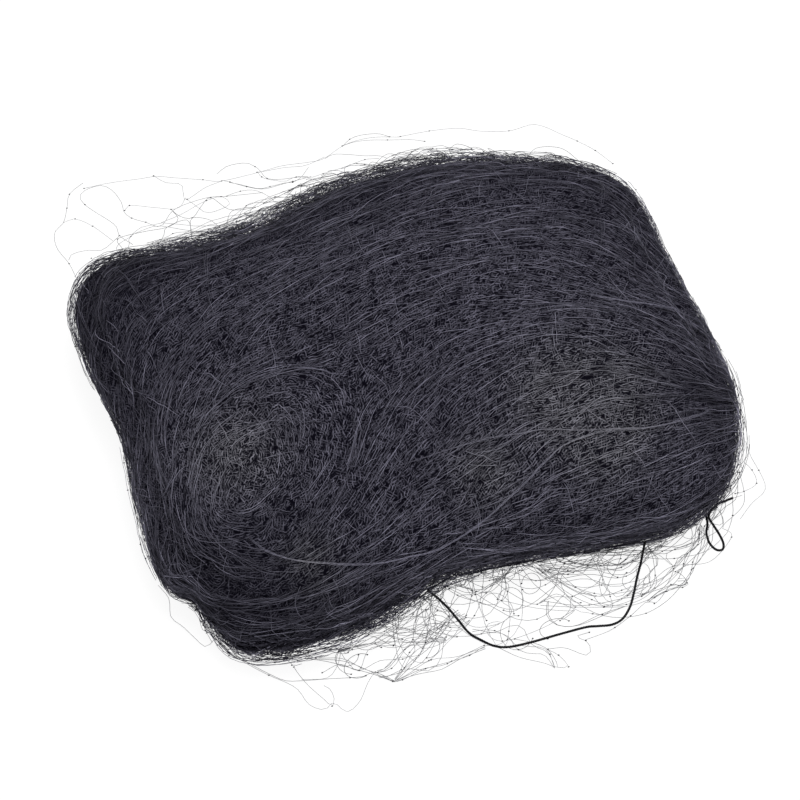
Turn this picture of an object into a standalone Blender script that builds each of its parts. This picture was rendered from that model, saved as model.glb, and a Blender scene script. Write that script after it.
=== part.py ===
"""Insect netting: 20 m by 3 m of knotted black filament net, gathered and wound into a loose flat pad.

The pad is one wound body, folded back and forth, with its open winding hollow at the left of the crown.
A flap of open diamond mesh hangs loose along the back edge and another along the front edge.
The cord that runs along the border of the net shows as a run across the crown, as a slack loop at the
front edge and as a small eye with a free end at the right corner.
Metres, +Z up. The origin is on the floor under the middle of the pad and +X runs along the pad.
"""
import math
import random

import bmesh
import bpy
from mathutils import Vector

# Sizes of the pad
CROWN_HEIGHT = 0.054
WIDEST_HEIGHT = 0.021
ROLL_UNDER = 0.014
DOME_POWER = 2.6

# Sizes of the net and its cord
ROD = 0.0012
CORD_DIAMETER = 0.0010
GAP = 0.0003

# Plan of the pad at its widest level: bearing from +X in degrees, reach from the origin
PLAN = (
    (0, 0.126), (15, 0.129), (30, 0.141), (40, 0.137),
    (52, 0.127), (66, 0.120), (82, 0.114), (98, 0.110),
    (112, 0.112), (124, 0.125), (134, 0.145), (142, 0.145),
    (152, 0.131), (165, 0.117), (180, 0.115), (195, 0.120),
    (206, 0.119), (218, 0.118), (232, 0.102), (246, 0.084),
    (260, 0.073), (276, 0.073), (292, 0.080), (306, 0.096),
    (318, 0.119), (330, 0.131), (345, 0.130),
)

# Levels of the pad's side, as angles: -90 where it meets the floor, 0 at the widest level
SIDE_LEVELS = (-90, -64, -42, -27, -20, -14, -8, 0, 8, 16, 23, 30)
# Rings over the crown, as shares of the reach
CROWN_RING_FIRST = 0.85
CROWN_RING_STEP = 0.05
CROWN_RINGS = 17
BEARINGS = 90

# Creases between the folded layers: level, depth, half width, and where and how widely the layer turns back
CREASES = (
    {"level": -14, "depth": 0.0045, "half_width": 7, "turn": 170, "spread": 36},
    {"level": 23, "depth": 0.0042, "half_width": 8, "turn": 282, "spread": 62},
)
# The layers wave up and down round the side, most of all midway between the floor and this level
CREASE_WOBBLE = 0.0020
WOBBLE_TOP_LEVEL = 45

# The lower layer shows past the upper one at the front left corner
LOBE_BEARING = 229
LOBE_SPREAD = 22
LOBE_SETBACK = 0.007
UPPER_LAYER_LEVEL = -14
UPPER_LAYER_BLEND = 5

# Main twists of the crown: centre of each winding, wavelength and height of its rings, and its reach
WINDINGS = (
    {"centre": (-0.074, -0.007), "pitch": 0.030, "height": 0.0018, "spread": 0.062},
    {"centre": (0.070, -0.030), "pitch": 0.036, "height": 0.0016, "spread": 0.080},
)
HOLLOW_CENTRE = (-0.074, -0.007)
HOLLOW_DEPTH = 0.0045
HOLLOW_SPREAD = 0.030
RELIEF_FROM_LEVEL = 30
RELIEF_BLEND = 20

# Loose flaps of mesh: bearings of their ends, level where they leave the pad, width of a diamond, rows of
# diamonds, outward reach at even places along the flap, and the distance over which they come down
BACK_FLAP = {
    "from": 38, "to": 134, "level": 2, "width": 0.0185, "rows": 3, "drop": 0.034,
    "reaches": (0.022, 0.029, 0.032, 0.032, 0.031, 0.031, 0.032, 0.042, 0.054, 0.061, 0.055, 0.040),
}
FRONT_FLAP = {
    "from": 230, "to": 341, "level": -58, "width": 0.0165, "rows": 3, "drop": 0.012,
    "reaches": (0.022, 0.034, 0.034, 0.036, 0.046, 0.048, 0.042, 0.033, 0.026, 0.021, 0.022, 0.021),
}
KNOT_SHIFT = 0.0018
BAR_SHIFT = 0.0008
FLAP_STAND_OFF = 0.0006
FLAP_FALL_POWER = 1.6
# Least distance of a diamond's middle from the ends of its strip, as a share of a diamond
STRIP_MARGIN = 0.4

# Border cord: places in plan of the run over the crown
CROWN_RUN = (
    (-0.080, -0.041), (-0.074, -0.050), (-0.065, -0.057), (-0.050, -0.063), (-0.036, -0.066),
    (-0.022, -0.066), (-0.008, -0.065), (0.008, -0.062), (0.024, -0.056), (0.036, -0.051), (0.046, -0.047),
    (0.062, -0.045), (0.078, -0.048), (0.091, -0.049), (0.104, -0.047), (0.111, -0.044),
)
# Front loop: it leaves the pad, lies over the front flap and goes back in
FRONT_LOOP_START = {"bearing": 256, "level": -24}
FRONT_LOOP_END = {"bearing": 311.5, "level": -24}
FRONT_LOOP = (
    (-0.0140, -0.0741, 0.0060), (-0.0113, -0.0784, 0.0036), (-0.0092, -0.0842, 0.0030),
    (-0.0071, -0.0903, 0.0030), (-0.0035, -0.0948, 0.0030), (0.0003, -0.0985, 0.0030),
    (0.0053, -0.1007, 0.0030), (0.0139, -0.1017, 0.0030), (0.0262, -0.1022, 0.0030),
    (0.0368, -0.1028, 0.0030), (0.0414, -0.1039, 0.0030), (0.0468, -0.1051, 0.0030),
    (0.0515, -0.1043, 0.0032), (0.0561, -0.1007, 0.0036), (0.0596, -0.0959, 0.0042),
    (0.0629, -0.0907, 0.0052), (0.0664, -0.0857, 0.0075),
)
# Eye at the right corner: a narrow drop that leaves the pad, turns round and runs on to a free end
EYE_START = {"bearing": 322, "level": -34}
EYE = (
    (0.0973, -0.0789, 0.0065), (0.0961, -0.0816, 0.0053), (0.0960, -0.0858, 0.0045), (0.0975, -0.0891, 0.0040),
    (0.0999, -0.0899, 0.0040), (0.1012, -0.0877, 0.0043), (0.1007, -0.0842, 0.0060), (0.0993, -0.0806, 0.0085),
    (0.0984, -0.0778, 0.0110), (0.1004, -0.0754, 0.0118), (0.1039, -0.0739, 0.0116), (0.1075, -0.0732, 0.0108),
    (0.1107, -0.0727, 0.0100),
)


def closed_curve_value(table, bearing):
    """Value at a bearing, on the smooth closed curve through a table's rows of bearing and value."""
    count = len(table)
    bearing = bearing % 360
    row = max(i for i in range(count) if table[i][0] <= bearing)
    before, here, after, beyond = (table[(row + step) % count] for step in (-1, 0, 1, 2))
    span = (after[0] - here[0]) % 360
    lead_in = (here[0] - before[0]) % 360
    lead_out = (beyond[0] - after[0]) % 360
    slope_here = (after[1] - before[1]) / (lead_in + span) * span
    slope_after = (beyond[1] - here[1]) / (span + lead_out) * span
    t = (bearing - here[0]) / span
    rise = 3 * t ** 2 - 2 * t ** 3
    return (here[1] * (1 - rise) + after[1] * rise
            + slope_here * (t ** 3 - 2 * t ** 2 + t) + slope_after * (t ** 3 - t ** 2))


def bearing_bump(bearing, centre, spread):
    """1 at the centre bearing, falling to 0 over the spread on both sides."""
    away = abs((bearing - centre + 180) % 360 - 180)
    return math.exp(-(away / spread) ** 2)


def crown_relief(x, y):
    """Height of the main twists over the smooth dome: rings about each winding, and the open hollow."""
    rise = 0
    for winding in WINDINGS:
        away = math.dist((x, y), winding["centre"])
        ring = math.cos(2 * math.pi * away / winding["pitch"])
        rise += winding["height"] * ring * math.exp(-(away / winding["spread"]) ** 2)
    hollow = math.dist((x, y), HOLLOW_CENTRE) / HOLLOW_SPREAD
    return rise - HOLLOW_DEPTH * math.exp(-hollow ** 2)


def pad_point(bearing, level):
    """Point of the pad's skin. Below level 0 the side rolls under, above it a dome runs to the crown."""
    swing = math.radians(level)
    reach = closed_curve_value(PLAN, bearing)
    if level < 0:
        out = reach - ROLL_UNDER * (1 - math.cos(swing))
        height = WIDEST_HEIGHT * (1 + math.sin(swing))
    else:
        out = reach * max(math.cos(swing), 0) ** (2 / DOME_POWER)
        height = WIDEST_HEIGHT + (CROWN_HEIGHT - WIDEST_HEIGHT) * math.sin(swing)
    upper = 1 / (1 + math.exp(-(level - UPPER_LAYER_LEVEL) / UPPER_LAYER_BLEND))
    lower_crown = math.cos(math.radians(max(level, 0)))
    out -= LOBE_SETBACK * bearing_bump(bearing, LOBE_BEARING, LOBE_SPREAD) * upper * lower_crown
    for crease in CREASES:
        across = max(1 - abs(level - crease["level"]) / crease["half_width"], 0)
        open_side = 1 - bearing_bump(bearing, crease["turn"], crease["spread"])
        out -= crease["depth"] * across * open_side
    if -90 < level < WOBBLE_TOP_LEVEL:
        wave = math.sin(math.radians(3 * bearing + 40)) + 0.6 * math.sin(math.radians(5 * bearing))
        height += CREASE_WOBBLE * wave * math.sin(math.pi * (level + 90) / (WOBBLE_TOP_LEVEL + 90))
    turn = math.radians(bearing)
    x = out * math.cos(turn)
    y = out * math.sin(turn)
    if level > RELIEF_FROM_LEVEL:
        height += crown_relief(x, y) * min((level - RELIEF_FROM_LEVEL) / RELIEF_BLEND, 1)
    return Vector((x, y, height))


def crown_level(x, y):
    """Level of the dome over a place in plan."""
    bearing = math.degrees(math.atan2(y, x))
    low = 0
    high = 90
    for _ in range(40):
        middle = (low + high) / 2
        if pad_point(bearing, middle).xy.length > math.hypot(x, y):
            low = middle
        else:
            high = middle
    return low


def over_crown(x, y, clearance):
    """Point at a clearance from the crown, measured square to it, over a place in plan."""
    step = 0.003
    bearing = math.degrees(math.atan2(y, x))
    here = pad_point(bearing, crown_level(x, y))
    ahead = [pad_point(math.degrees(math.atan2(y + dy, x + dx)), crown_level(x + dx, y + dy))
             for dx, dy in ((step, 0), (0, step), (-step, 0), (0, -step))]
    square = (ahead[0] - ahead[2]).cross(ahead[1] - ahead[3]).normalized()
    return here + square * clearance


def beside_pad(place, clearance):
    """Point at a clearance outside the pad's side, at a bearing and level."""
    point = pad_point(place["bearing"], place["level"])
    turn = math.radians(place["bearing"])
    return point + Vector((math.cos(turn), math.sin(turn), 0)) * clearance


def material(name, colour, roughness):
    """Plain matt nylon of one colour."""
    slot = bpy.data.materials.new(name)
    slot.use_nodes = True
    shader = slot.node_tree.nodes["Principled BSDF"]
    shader.inputs["Base Color"].default_value = (*colour, 1)
    shader.inputs["Roughness"].default_value = roughness
    shader.inputs["Metallic"].default_value = 0
    return slot


def place_mesh(collection, name, bm, slot):
    """Turn a bmesh into an object of the collection."""
    mesh = bpy.data.meshes.new(name)
    bm.to_mesh(mesh)
    bm.free()
    mesh.materials.append(slot)
    obj = bpy.data.objects.new(name, mesh)
    collection.objects.link(obj)
    return obj


def wound_pad(collection, slot):
    """A globe whose rings are laid out on the pad's levels: flat below, creased side, rippled dome."""
    shares = [CROWN_RING_FIRST - CROWN_RING_STEP * i for i in range(CROWN_RINGS)]
    crown = [math.degrees(math.acos(share ** (DOME_POWER / 2))) for share in shares]
    levels = (*SIDE_LEVELS, *crown)
    bm = bmesh.new()
    bmesh.ops.create_uvsphere(bm, u_segments=BEARINGS, v_segments=len(levels) + 1, radius=1)
    for vertex in bm.verts:
        latitude = math.degrees(math.asin(max(-1, min(1, vertex.co.z))))
        ring = round((latitude + 90) / 180 * (len(levels) + 1)) - 1
        bearing = math.degrees(math.atan2(vertex.co.y, vertex.co.x))
        if ring < 0:
            vertex.co = (0, 0, 0)
        elif ring == len(levels):
            vertex.co = pad_point(0, 90)
        else:
            vertex.co = pad_point(bearing, levels[ring])
    pad = place_mesh(collection, "net_bundle", bm, slot)
    pad.data.shade_smooth()
    return pad


def rim_bearings(first, last, pitch):
    """Bearings a pitch apart along the pad's rim, from the first bearing up to the last."""
    marks = [first]
    run = 0
    step = 0.25
    bearing = first
    while bearing < last:
        here = beside_pad({"bearing": bearing, "level": 0}, 0)
        there = beside_pad({"bearing": bearing + step, "level": 0}, 0)
        run += (there - here).length
        bearing += step
        if run >= pitch:
            marks.append(bearing)
            run = 0
    return marks


def between(values, place):
    """Value at a fractional place along a list."""
    place = max(0, min(place, len(values) - 1))
    low = min(int(place), len(values) - 2)
    return values[low] + (values[low + 1] - values[low]) * (place - low)


def loose_flap(collection, name, flap, slot, seed):
    """Open diamond mesh beside the pad: a grid turned by 45 degrees, cut to a strip, laid down and opened."""
    chance = random.Random(seed)
    marks = rim_bearings(flap["from"], flap["to"], flap["width"] / 2)
    long_count = (len(marks) - 1) / 2
    deep_count = (flap["rows"] + 1) / 2
    side = int(long_count + deep_count) + 2
    bm = bmesh.new()
    bmesh.ops.create_grid(bm, x_segments=side, y_segments=side, size=side / 2)
    for vertex in bm.verts:
        x, y = vertex.co.x, vertex.co.y
        vertex.co = ((x + y + side % 2) / 2 + int(long_count) / 2, (y - x) / 2, 0)
    outside = []
    for face in bm.faces:
        along, out = face.calc_center_median().xy
        if not (STRIP_MARGIN < along < long_count - STRIP_MARGIN
                and STRIP_MARGIN < out < deep_count - STRIP_MARGIN):
            outside.append(face)
    bmesh.ops.delete(bm, geom=outside, context="FACES")
    knots = set(bm.verts)
    for edge in list(bm.edges):
        bmesh.utils.edge_split(edge, edge.verts[0], 0.5)
    rest = ROD / 2 + GAP
    for vertex in sorted(bm.verts, key=lambda v: (round(v.co.x, 3), round(v.co.y, 3))):
        along, out = vertex.co.x, max(vertex.co.y, 0)
        reach = between(flap["reaches"], along / long_count * (len(flap["reaches"]) - 1))
        away = out / deep_count * reach
        bearing = between(marks, along * 2)
        shift = min(out, 1) * (KNOT_SHIFT if vertex in knots else BAR_SHIFT)
        point = beside_pad({"bearing": bearing, "level": flap["level"]}, rest + FLAP_STAND_OFF + away)
        fall = max(1 - away / flap["drop"], 0) ** FLAP_FALL_POWER
        height = rest + max(point.z - rest, 0) * fall
        sideways = Vector((chance.uniform(-shift, shift), chance.uniform(-shift, shift), 0))
        vertex.co = Vector((point.x, point.y, height)) + sideways
    cells = list(bm.faces)
    bmesh.ops.inset_individual(bm, faces=cells, thickness=ROD / 2, use_even_offset=True)
    bmesh.ops.delete(bm, geom=cells, context="FACES_ONLY")
    obj = place_mesh(collection, name, bm, slot)
    thick = obj.modifiers.new("Thickness", "SOLIDIFY")
    thick.thickness = ROD
    thick.offset = 0
    return obj


def smooth_route(points, spacing):
    """Points a spacing apart on the smooth curve through a route's own points."""
    fine = []
    ends = [points[0] * 2 - points[1], *points, points[-1] * 2 - points[-2]]
    for p, q, r, s in zip(ends, ends[1:], ends[2:], ends[3:]):
        for step in range(40):
            t = step / 40
            fine.append(0.5 * (2 * q + (r - p) * t + (2 * p - 5 * q + 4 * r - s) * t ** 2
                               + (3 * q - 3 * r + s - p) * t ** 3))
    fine.append(points[-1])
    length = sum((b - a).length for a, b in zip(fine, fine[1:]))
    count = max(round(length / spacing), 2)
    route = [fine[0]]
    run = 0
    for a, b in zip(fine, fine[1:]):
        run += (b - a).length
        if run >= length * len(route) / count - 1e-9 and len(route) < count:
            route.append(b)
    route.append(fine[-1])
    return route


def cord(collection, name, points, slot):
    """Round cord along the smooth curve through a route's points."""
    route = smooth_route(points, CORD_DIAMETER * 3)
    curve = bpy.data.curves.new(name, "CURVE")
    curve.dimensions = "3D"
    curve.bevel_depth = CORD_DIAMETER / 2
    curve.bevel_resolution = 2
    curve.use_fill_caps = True
    spline = curve.splines.new("POLY")
    spline.points.add(len(route) - 1)
    for target, point in zip(spline.points, route):
        target.co = (*point, 1)
    curve.materials.append(slot)
    obj = bpy.data.objects.new(name, curve)
    collection.objects.link(obj)
    return obj


for old in list(bpy.data.objects):
    bpy.data.objects.remove(old, do_unlink=True)

netting = bpy.data.collections.new("insect_netting_bundle")
bpy.context.scene.collection.children.link(netting)

filament = material("black_filament", (0.035, 0.035, 0.042), 0.55)
flap_filament = material("black_flap_filament", (0.030, 0.030, 0.036), 0.50)
twine = material("black_twine", (0.012, 0.012, 0.014), 0.70)

wound_pad(netting, filament)
loose_flap(netting, "loose_net_back", BACK_FLAP, flap_filament, 3)
loose_flap(netting, "loose_net_front", FRONT_FLAP, flap_filament, 8)

clear = CORD_DIAMETER / 2 + GAP
crown_plan = smooth_route([Vector((x, y, 0)) for x, y in CROWN_RUN], CORD_DIAMETER * 3)
crown_run = [over_crown(place.x, place.y, clear) for place in crown_plan]
cord(netting, "border_cord_crown", crown_run, twine)
front_loop = [beside_pad(FRONT_LOOP_START, clear), *map(Vector, FRONT_LOOP), beside_pad(FRONT_LOOP_END, clear)]
cord(netting, "border_cord_front", front_loop, twine)
eye = [beside_pad(EYE_START, clear), *map(Vector, EYE)]
cord(netting, "border_cord_eye", eye, twine)
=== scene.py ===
"""Bundle of insect netting: fine black filament net wound into a loose flat pad, on a white table.

Metres, +Z up, the origin on the floor under the middle of the pad, +X along the pad.
"""

import bpy
import numpy as np
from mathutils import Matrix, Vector


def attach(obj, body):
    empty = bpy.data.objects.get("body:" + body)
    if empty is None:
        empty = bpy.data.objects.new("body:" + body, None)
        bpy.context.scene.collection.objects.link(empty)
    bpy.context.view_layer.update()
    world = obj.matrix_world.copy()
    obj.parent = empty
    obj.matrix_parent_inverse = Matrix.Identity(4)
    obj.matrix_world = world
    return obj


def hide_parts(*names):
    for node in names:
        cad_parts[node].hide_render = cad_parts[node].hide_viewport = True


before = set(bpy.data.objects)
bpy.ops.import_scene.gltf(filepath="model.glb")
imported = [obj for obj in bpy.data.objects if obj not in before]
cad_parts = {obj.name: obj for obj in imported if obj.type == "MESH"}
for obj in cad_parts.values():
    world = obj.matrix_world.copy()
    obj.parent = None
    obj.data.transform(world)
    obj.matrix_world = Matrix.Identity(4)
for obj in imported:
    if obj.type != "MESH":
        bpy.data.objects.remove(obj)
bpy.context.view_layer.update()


# Camera
# A long lens looks down at 62 degrees from the front, 19 degrees to the left of the pad's middle line.
CAMERA_AZIMUTH = np.radians(-19)
CAMERA_ELEVATION = np.radians(62)
CAMERA_DISTANCE = 0.8889
CAMERA_AIM = Vector((-0.0032, 0.0041, 0.0265))

towards_camera = Vector((
    np.sin(CAMERA_AZIMUTH) * np.cos(CAMERA_ELEVATION),
    -np.cos(CAMERA_AZIMUTH) * np.cos(CAMERA_ELEVATION),
    np.sin(CAMERA_ELEVATION),
))
camera_lens = bpy.data.cameras.new("camera")
camera_lens.lens = 100
camera_lens.sensor_width = 36
camera = bpy.data.objects.new("camera", camera_lens)
camera.location = CAMERA_AIM + towards_camera * CAMERA_DISTANCE
camera.rotation_euler = towards_camera.to_track_quat("Z", "Y").to_euler()
bpy.context.scene.collection.objects.link(camera)
bpy.context.scene.camera = camera


# Body of the pad
# The net is gathered to a rope and wound round two centres, then folded back and forth into a flat pad.
# Its dense inside shows only as darkness between the filaments, so it is one closed form under them.
CROWN_HEIGHT = 0.054
WIDEST_HEIGHT = 0.021
ROLL_UNDER = 0.014
DOME_POWER = 2.6
# Tables of places and routes are in millimetres. A place in plan is a complex number, X + Y j.
MM = 0.001
# Bearing in degrees and reach of the pad at its widest level
PAD_PLAN = np.array((
    (0, 127), (15, 129), (30, 141), (40, 139), (52, 129.5), (66, 122.8), (82, 115.5), (98, 110.8),
    (112, 112.6), (124, 127), (134, 148), (142, 148), (152, 134), (165, 118), (180, 116), (195, 121.2),
    (200, 121.8), (204, 118.2), (209, 120.5), (218, 121.8), (232, 105), (246, 85.5), (260, 72.5), (276, 72),
    (292, 80), (306, 96), (318, 119), (330, 132), (345, 132),
)) * (1, MM)
# Level, depth, half width, bearing where the layer turns back, and how widely
CREASES = ((-14, 0.0045, 7, 170, 36), (23, 0.0042, 8, 282, 62))
# The layers wave up and down round the side, from the floor to this level
CREASE_WOBBLE, WOBBLE_TOP_LEVEL = 0.0020, 45
# The lower layer shows past the upper one at the front left corner
LOBE_BEARING, LOBE_SPREAD, LOBE_SETBACK = 229, 22, 0.007
UPPER_LAYER_LEVEL, UPPER_LAYER_BLEND = -14, 5
# Centre, pitch, height and spread of the rings of each winding, and the hollow in the left one
WINDINGS = ((-0.074 - 0.007j, 0.030, 0.0018, 0.062), (0.070 - 0.030j, 0.036, 0.0016, 0.080))
HOLLOW_CENTRE, HOLLOW_DEPTH, HOLLOW_SPREAD = -0.074 - 0.007j, 0.0045, 0.030
# How loose the edge is, by bearing: the thickness of the open fringe of filaments there
EDGE_FRINGE = np.array((
    (0, 1.0), (28, 0.8), (50, 2.4), (75, 4.2), (92, 5.0), (108, 5.0), (120, 3.6), (130, 2.8), (142, 1.8),
    (160, 1.1), (202, 1.7), (210, 2.4), (222, 3.8), (236, 4.8), (250, 5.4), (262, 3.2), (274, 2.2),
    (322, 2.0), (336, 2.7), (350, 2.6), (358, 1.0), (360, 1.0),
)) * (1, MM)
# How far the core lies inside the skin, how much more beside the fringe, as a share of that, from where on
# the way from crown to floor this grows and over how much of it, and the core's height over the floor
CORE_INSET, CORE_INSET_AT_FRINGE = 0.0008, 0.8
CORE_INSET_FROM, CORE_INSET_OVER = 0.55, 0.2
CORE_LIFT = 0.0007


def towards(bearing):
    """Place in plan at a distance of 1 on a bearing in degrees."""
    return np.exp(1j * np.radians(bearing))


def plan_reach(bearing):
    """Reach of the pad at its widest level: the smooth closed cubic through the rows of PAD_PLAN."""
    turn = np.mod(bearing, 360)
    marks, reach = np.pad(PAD_PLAN, ((1, 2), (0, 0)), "wrap").T
    marks = marks + 360.0 * np.array((-1, *[0] * len(PAD_PLAN), 1, 1))
    slope = (reach[2:] - reach[:-2]) / (marks[2:] - marks[:-2])
    here = np.searchsorted(marks, turn, side="right") - 1
    span = marks[here + 1] - marks[here]
    t = (turn - marks[here]) / span
    rise = 3 * t ** 2 - 2 * t ** 3
    bend = slope[here - 1] * (t ** 3 - 2 * t ** 2 + t) + slope[here] * (t ** 3 - t ** 2)
    return reach[here] * (1 - rise) + reach[here + 1] * rise + span * bend


def near_bearing(bearing, centre, spread):
    """1 at the centre bearing, falling to 0 over the spread: a bell curve of the angle between them."""
    away = np.abs((bearing - centre + 180) % 360 - 180)
    return np.exp(-(away / spread) ** 2)


def edge_fringe(bearing):
    """Thickness of the loose fringe at a bearing, on straight lines between the rows of EDGE_FRINGE."""
    return np.interp(np.mod(bearing, 360), EDGE_FRINGE[:, 0], EDGE_FRINGE[:, 1])


def pad_point(bearing, level):
    """Point of the pad's skin at a bearing and a level, both in degrees.

    Below level 0 the side rolls under along a quarter ellipse. Above it a dome rises, whose reach is the
    plan's times a power of the level's cosine. Creases are V grooves in level, and the twists are rings.
    """
    bearing, level = np.broadcast_arrays(np.asarray(bearing, float), np.asarray(level, float))
    swing = np.radians(level)
    reach = plan_reach(bearing)
    below = level < 0
    dome_out = reach * np.clip(np.cos(swing), 0, 1) ** (2 / DOME_POWER)
    out = np.where(below, reach - ROLL_UNDER * (1 - np.cos(swing)), dome_out)
    rise = np.where(below, WIDEST_HEIGHT, CROWN_HEIGHT - WIDEST_HEIGHT)
    height = WIDEST_HEIGHT + rise * np.sin(swing)
    upper = 1 / (1 + np.exp((UPPER_LAYER_LEVEL - level) / UPPER_LAYER_BLEND))
    upper = upper * np.cos(np.radians(np.maximum(level, 0)))
    out = out - LOBE_SETBACK * near_bearing(bearing, LOBE_BEARING, LOBE_SPREAD) * upper
    for crease_level, depth, half_width, turn, spread in CREASES:
        across = np.clip(1 - np.abs(level - crease_level) / half_width, 0, 1)
        out = out - depth * across * (1 - near_bearing(bearing, turn, spread))
    wave = np.sin(np.radians(3 * bearing + 40)) + 0.6 * np.sin(np.radians(5 * bearing))
    window = np.sin(np.pi * (level + 90) / (WOBBLE_TOP_LEVEL + 90)) * (np.abs(level) < 90)
    window = window * (level < WOBBLE_TOP_LEVEL)
    height = height + CREASE_WOBBLE * wave * window
    place = out * towards(bearing)
    twist = -HOLLOW_DEPTH * np.exp(-(np.abs(place - HOLLOW_CENTRE) / HOLLOW_SPREAD) ** 2)
    for centre, pitch, ring_height, spread in WINDINGS:
        away = np.abs(place - centre)
        twist += ring_height * np.cos(2 * np.pi * away / pitch) * np.exp(-(away / spread) ** 2)
    return at_height(place, height + twist * np.clip((level - 30) / 20, 0, 1))


def at_height(place, height):
    """Points over places in plan."""
    return np.stack((place.real, place.imag, height + 0 * place.real), axis=-1)


def in_plan(points):
    """Places in plan under points."""
    return points[..., 0] + 1j * points[..., 1]


def unit(vectors):
    """Vectors of length 1 in the same directions."""
    return vectors / (np.linalg.norm(vectors, axis=-1, keepdims=True) + 1e-12)


def mesh_object(name, points, quads, triangles):
    """Mesh from whole arrays: points, and the corner indices of its four-sided and three-sided faces."""
    corners = np.concatenate((quads.ravel(), triangles.ravel()))
    counts = np.repeat((4, 3), (quads.size // 4, triangles.size // 3))
    mesh = bpy.data.meshes.new(name)
    mesh.vertices.add(len(points))
    mesh.vertices.foreach_set("co", np.asarray(points, np.float32).ravel())
    mesh.loops.add(len(corners))
    mesh.loops.foreach_set("vertex_index", corners.astype(np.int32))
    mesh.polygons.add(len(counts))
    mesh.polygons.foreach_set("loop_start", (np.cumsum(counts) - counts).astype(np.int32))
    mesh.polygons.foreach_set("use_smooth", np.full(len(counts), True))
    mesh.update(calc_edges=True)
    obj = bpy.data.objects.new(name, mesh)
    bpy.context.scene.collection.objects.link(obj)
    return obj


def closed_tube(name, rings, poles):
    """Closed mesh of an array of rings by corners, with a fan of triangles to a pole at each end."""
    count, corners = rings.shape[:2]
    here = np.arange(corners)
    there = (here + 1) % corners
    base = np.arange(count - 1)[:, None] * corners
    last, pole = (count - 1) * corners, np.full(corners, count * corners)
    quads = np.stack((base + here, base + corners + here, base + corners + there, base + there), axis=-1)
    fans = np.stack(((here, there, pole), (last + there, last + here, pole + 1))).swapaxes(1, 2)
    return mesh_object(name, np.concatenate((rings.reshape(-1, 3), poles)), quads, fans)


def store(obj, name, values):
    """Store a value, or a vector, for each point of a mesh, for its material to read."""
    values = np.asarray(values, np.float32)
    kind, field = ("FLOAT", "value") if values.ndim == 1 else ("FLOAT_VECTOR", "vector")
    obj.data.attributes.new(name, kind, "POINT").data.foreach_set(field, values.ravel())


def dress(piece, material, slot, *nodes):
    """Give a piece its material, the body that it rides on, and the nodes that it replaces. The slot is not
    used.
    """
    piece.data.materials.append(material)
    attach(piece, "root")
    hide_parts(*nodes)


def at_marks(points, run, marks):
    """Points of a line at marks of the run along it."""
    return np.stack([np.interp(marks, run, values) for values in points.T], axis=-1)


def skin_table(bearings, marks):
    """Points and outward normals of the skin, and its run from crown to floor, for each bearing.

    Along each bearing the skin's profile is measured from the crown and divided at the marks, shares of its
    run. The normal is the cross product of the table's own two directions.
    """
    profile = pad_point(bearings[:, None], np.linspace(90, -90, 720)[None, :])
    stride = np.linalg.norm(np.diff(profile, axis=1), axis=-1)
    run = np.concatenate((np.zeros((len(bearings), 1)), np.cumsum(stride, axis=1)), axis=1)
    points = np.stack([at_marks(*row, marks * row[1][-1]) for row in zip(profile, run)])
    across = np.gradient(np.concatenate((points[-2:-1], points, points[1:2])), axis=0)[1:-1]
    normals = np.cross(np.gradient(points, axis=1), across)
    normals[:, 0] = (0, 0, 1)
    return points, unit(normals), run[:, -1]


# Lay of the filaments, in degrees from +X: one row for each Y, one column for each X, None off the pad
LAY_X = (-110, -85, -60, -35, -10, 15, 40, 65, 90, 115)
LAY_ROWS = (
    (80, (60, -5, 10, 10, 10, 10, 5, -5, -10, None)),
    (55, (65, 25, 20, 12, 10, 2, -5, -8, -25, -50)),
    (30, (70, 40, 15, 8, 22, 5, -5, -25, -40, -55)),
    (5, (70, 50, 15, -65, 25, 15, 0, -20, -32, -25)),
    (-20, (75, 60, 60, 60, 40, 27, 5, -8, -40, -45)),
    (-45, (None, -45, 30, 40, 22, 20, 12, 12, 0, 5)),
    (-70, (None, -18, 12, 2, 12, 0, 0, -3, 15, None)),
)
LAY_SPREAD = 13
# Centre, spread and weight of the whorl, and weight of the rim, the share of the reach where it has half of
# that, how softly it sets in, and its weight everywhere else
WHORL_CENTRE, WHORL_SPREAD, WHORL_WEIGHT = -74 - 12j, 30, 1.4
RIM_WEIGHT, RIM_HALF_AT, RIM_SOFTNESS, RIM_EVERYWHERE = 1.6, 1.11, 0.035, 0.02


def bearing_and_share(place):
    """Bearing of a place in degrees, and its distance from the middle as a share of the pad's reach."""
    bearing = np.degrees(np.angle(place))
    return bearing, np.abs(place) / plan_reach(bearing)


def lay_angle(place):
    """Direction of the winding at unrolled places, in radians.

    Directions are averaged with doubled angles, so that opposite ways agree: the chart's entries by their
    nearness, the whorl as rings round its centre, and near the rim the direction of the rim itself.
    """
    bearing, share = bearing_and_share(place)
    place = place / MM
    total = 0
    for row_y, angles in LAY_ROWS:
        for column_x, angle in zip(LAY_X, angles):
            if angle is not None:
                near = np.exp(-np.abs(place - column_x - 1j * row_y) ** 2 / LAY_SPREAD ** 2 / 2)
                total = total + near * towards(2 * angle)
    away = place - WHORL_CENTRE
    weight = WHORL_WEIGHT * np.exp(-(np.abs(away) / WHORL_SPREAD) ** 2)
    total = total - weight * np.exp(2j * np.angle(away))
    here, there = (plan_reach(turn) * towards(turn) for turn in (bearing, bearing + 1))
    weight = RIM_WEIGHT / (1 + np.exp((RIM_HALF_AT - share) / RIM_SOFTNESS)) + RIM_EVERYWHERE
    return 0.5 * np.angle(total + weight * np.exp(2j * np.angle(there - here)))
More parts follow.
